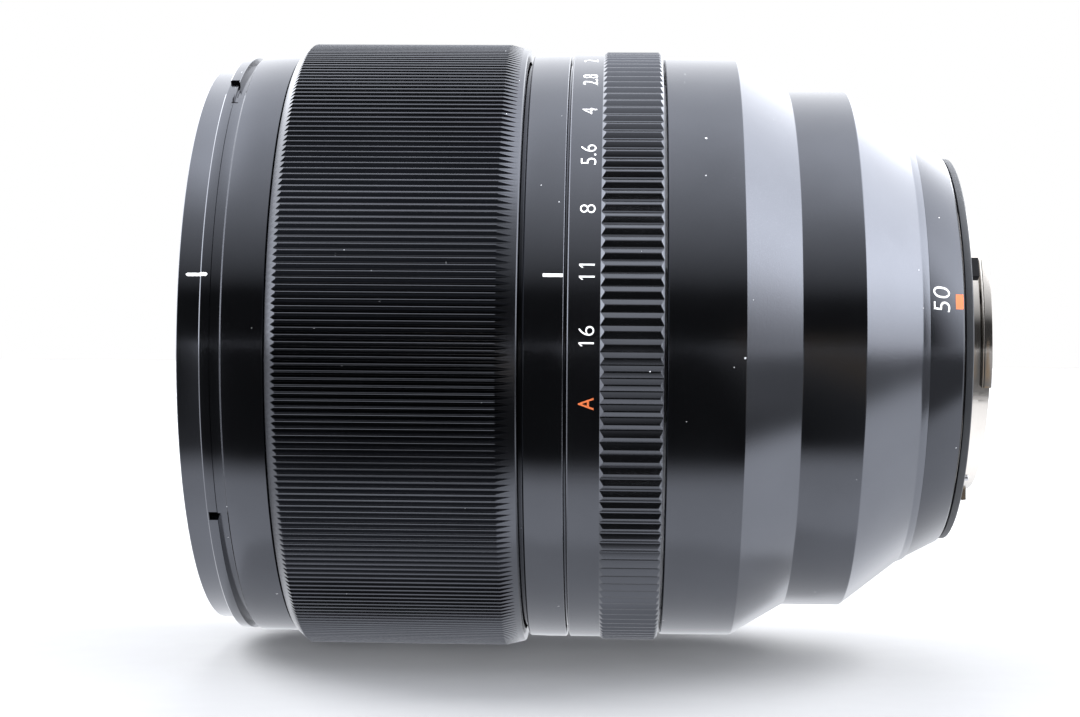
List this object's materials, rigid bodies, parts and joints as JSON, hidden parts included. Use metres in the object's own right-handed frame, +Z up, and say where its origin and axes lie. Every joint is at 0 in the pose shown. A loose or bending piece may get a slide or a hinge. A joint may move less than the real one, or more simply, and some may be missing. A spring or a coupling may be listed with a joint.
{
  "type": "prime camera lens",
  "caption": "Fixed focal length camera lens: ribbed focus ring, marked aperture ring, moving focus unit with iris blades, gear-driven cam barrel and three-claw bayonet mount.",
  "frame": {"origin": "on the optical axis, half way between the front rim and the rear end of the bayonet claws, which is the centre of the bounding box", "axes": "+X along the optical axis from the front glass to the camera mount, +Z up with the lens lying on its side; the index mark and the aperture number in use face -Y, 12 degrees above the horizontal"},
  "size_m": [0.1072, 0.087, 0.087],
  "materials": {
    "black_metal": "black anodised, satin",
    "inner_black": "black anodised, matt",
    "gasket_rubber": "matt",
    "bayonet_chrome": "polished",
    "steel": "satin",
    "bare_aluminium": "machined",
    "brass": "machined",
    "circuit_board": "solder mask",
    "ribbon": "polyimide film",
    "blade_black": "matt black",
    "coated_glass": "polished, coated",
    "gold": "gold plated"
  },
  "bodies": {
    "barrel": {"front_barrel": "black_metal", "name_ring": "inner_black", "main_tube": "bare_aluminium", "index_barrel": "black_metal", "rear_barrel": "black_metal", "mount_collar": "black_metal", "mount_gasket": "gasket_rubber", "bayonet_mount": "bayonet_chrome", "mount_screw_1": "steel", "mount_screw_2": "steel", "mount_screw_3": "steel", "mount_screw_4": "steel", "flange_pin": "steel", "rear_baffle": "inner_black", "contact_strip": "gold", "main_board": "circuit_board", "flex_cable": "ribbon", "focus_motor": "steel", "drive_plate": "bare_aluminium", "focus_ring_sensor": "circuit_board", "aperture_sensor": "circuit_board", "click_spring": "steel", "rear_group_cell": "inner_black", "lens_11": "coated_glass", "lens_12": "coated_glass"},
    "focus_ring": {"focus_ring": "black_metal"},
    "aperture_ring": {"aperture_ring": "black_metal"},
    "cam_barrel": {"cam_barrel": "brass", "cam_gear_sector": "brass"},
    "reduction_gear": {"reduction_gear": "brass"},
    "motor_pinion": {"motor_pinion": "brass"},
    "focus_unit": {"front_cell": "inner_black", "front_retaining_ring": "inner_black", "rear_cell": "inner_black", "lens_1": "coated_glass", "lens_2": "coated_glass", "lens_3": "coated_glass", "lens_4": "coated_glass", "lens_5": "coated_glass", "lens_6": "coated_glass", "lens_7": "coated_glass", "lens_8": "coated_glass", "lens_9": "coated_glass", "lens_10": "coated_glass", "iris_base": "steel", "follower_pin_1": "steel", "follower_pin_2": "steel", "follower_pin_3": "steel", "iris_motor": "steel"},
    "iris_cam_ring": {"iris_cam_ring": "brass"},
    "iris_blade_1": {"iris_blade_1": "blade_black"},
    "iris_blade_2": {"iris_blade_2": "blade_black"},
    "iris_blade_3": {"iris_blade_3": "blade_black"},
    "iris_blade_4": {"iris_blade_4": "blade_black"},
    "iris_blade_5": {"iris_blade_5": "blade_black"},
    "iris_blade_6": {"iris_blade_6": "blade_black"},
    "iris_blade_7": {"iris_blade_7": "blade_black"},
    "iris_blade_8": {"iris_blade_8": "blade_black"},
    "iris_blade_9": {"iris_blade_9": "blade_black"}
  },
  "joints": [
    {"name": "focus_ring_turn", "type": "hinge", "parent": "barrel", "child": "focus_ring", "pos_m": [-0.02555, 0, 0], "axis": [1, 0, 0], "continuous": true},
    {"name": "aperture_ring_turn", "type": "hinge", "parent": "barrel", "child": "aperture_ring", "pos_m": [0.00245, 0, 0], "axis": [1, 0, 0], "range_deg": [-23.1, 80.85]},
    {"name": "cam_barrel_turn", "type": "hinge", "parent": "barrel", "child": "cam_barrel", "pos_m": [-0.00955, 0, 0], "axis": [1, 0, 0], "range_deg": [0, 60]},
    {"name": "focus_unit_slide", "type": "slide", "parent": "barrel", "child": "focus_unit", "axis": [-1, 0, 0], "range_m": [0, 0.0042]},
    {"name": "reduction_gear_turn", "type": "hinge", "parent": "barrel", "child": "reduction_gear", "pos_m": [0.01645, 0.00521, 0.02954], "axis": [1, 0, 0], "range_deg": [0, 660.5]},
    {"name": "motor_pinion_turn", "type": "hinge", "parent": "barrel", "child": "motor_pinion", "pos_m": [0.01795, 0.01238, 0.02733], "axis": [1, 0, 0], "range_deg": [-1321, 0]},
    {"name": "iris_cam_turn", "type": "hinge", "parent": "focus_unit", "child": "iris_cam_ring", "pos_m": [0.00445, 0, 0], "axis": [1, 0, 0], "range_deg": [-23.35, 6.69]},
    {"name": "iris_blade_1_turn", "type": "hinge", "parent": "focus_unit", "child": "iris_blade_1", "pos_m": [0.00025, 0.026, 0], "axis": [1, 0, 0], "range_deg": [-30.66, 8.78]},
    {"name": "iris_blade_2_turn", "type": "hinge", "parent": "focus_unit", "child": "iris_blade_2", "pos_m": [0.00065, 0.01992, 0.01671], "axis": [1, 0, 0], "range_deg": [-30.66, 8.78]},
    {"name": "iris_blade_3_turn", "type": "hinge", "parent": "focus_unit", "child": "iris_blade_3", "pos_m": [0.00105, 0.00451, 0.0256], "axis": [1, 0, 0], "range_deg": [-30.66, 8.78]},
    {"name": "iris_blade_4_turn", "type": "hinge", "parent": "focus_unit", "child": "iris_blade_4", "pos_m": [0.00145, -0.013, 0.02252], "axis": [1, 0, 0], "range_deg": [-30.66, 8.78]},
    {"name": "iris_blade_5_turn", "type": "hinge", "parent": "focus_unit", "child": "iris_blade_5", "pos_m": [0.00185, -0.02443, 0.00889], "axis": [1, 0, 0], "range_deg": [-30.66, 8.78]},
    {"name": "iris_blade_6_turn", "type": "hinge", "parent": "focus_unit", "child": "iris_blade_6", "pos_m": [0.00225, -0.02443, -0.00889], "axis": [1, 0, 0], "range_deg": [-30.66, 8.78]},
    {"name": "iris_blade_7_turn", "type": "hinge", "parent": "focus_unit", "child": "iris_blade_7", "pos_m": [0.00265, -0.013, -0.02252], "axis": [1, 0, 0], "range_deg": [-30.66, 8.78]},
    {"name": "iris_blade_8_turn", "type": "hinge", "parent": "focus_unit", "child": "iris_blade_8", "pos_m": [0.00305, 0.00451, -0.0256], "axis": [1, 0, 0], "range_deg": [-30.66, 8.78]},
    {"name": "iris_blade_9_turn", "type": "hinge", "parent": "focus_unit", "child": "iris_blade_9", "pos_m": [0.00345, 0.01992, -0.01671], "axis": [1, 0, 0], "range_deg": [-30.66, 8.78]}
  ],
  "couplings": [
    {"joint": "focus_unit_slide", "follows": "cam_barrel_turn", "m_per_rad": 0.00401},
    {"joint": "reduction_gear_turn", "follows": "cam_barrel_turn", "ratio": 11},
    {"joint": "motor_pinion_turn", "follows": "cam_barrel_turn", "ratio": -22},
    {"joint": "iris_cam_turn", "follows": "aperture_ring_turn", "ratio": -0.2886},
    {"joint": "iris_blade_1_turn", "follows": "aperture_ring_turn", "ratio": -0.37903},
    {"joint": "iris_blade_2_turn", "follows": "aperture_ring_turn", "ratio": -0.37903},
    {"joint": "iris_blade_3_turn", "follows": "aperture_ring_turn", "ratio": -0.37903},
    {"joint": "iris_blade_4_turn", "follows": "aperture_ring_turn", "ratio": -0.37903},
    {"joint": "iris_blade_5_turn", "follows": "aperture_ring_turn", "ratio": -0.37903},
    {"joint": "iris_blade_6_turn", "follows": "aperture_ring_turn", "ratio": -0.37903},
    {"joint": "iris_blade_7_turn", "follows": "aperture_ring_turn", "ratio": -0.37903},
    {"joint": "iris_blade_8_turn", "follows": "aperture_ring_turn", "ratio": -0.37903},
    {"joint": "iris_blade_9_turn", "follows": "aperture_ring_turn", "ratio": -0.37903}
  ]
}
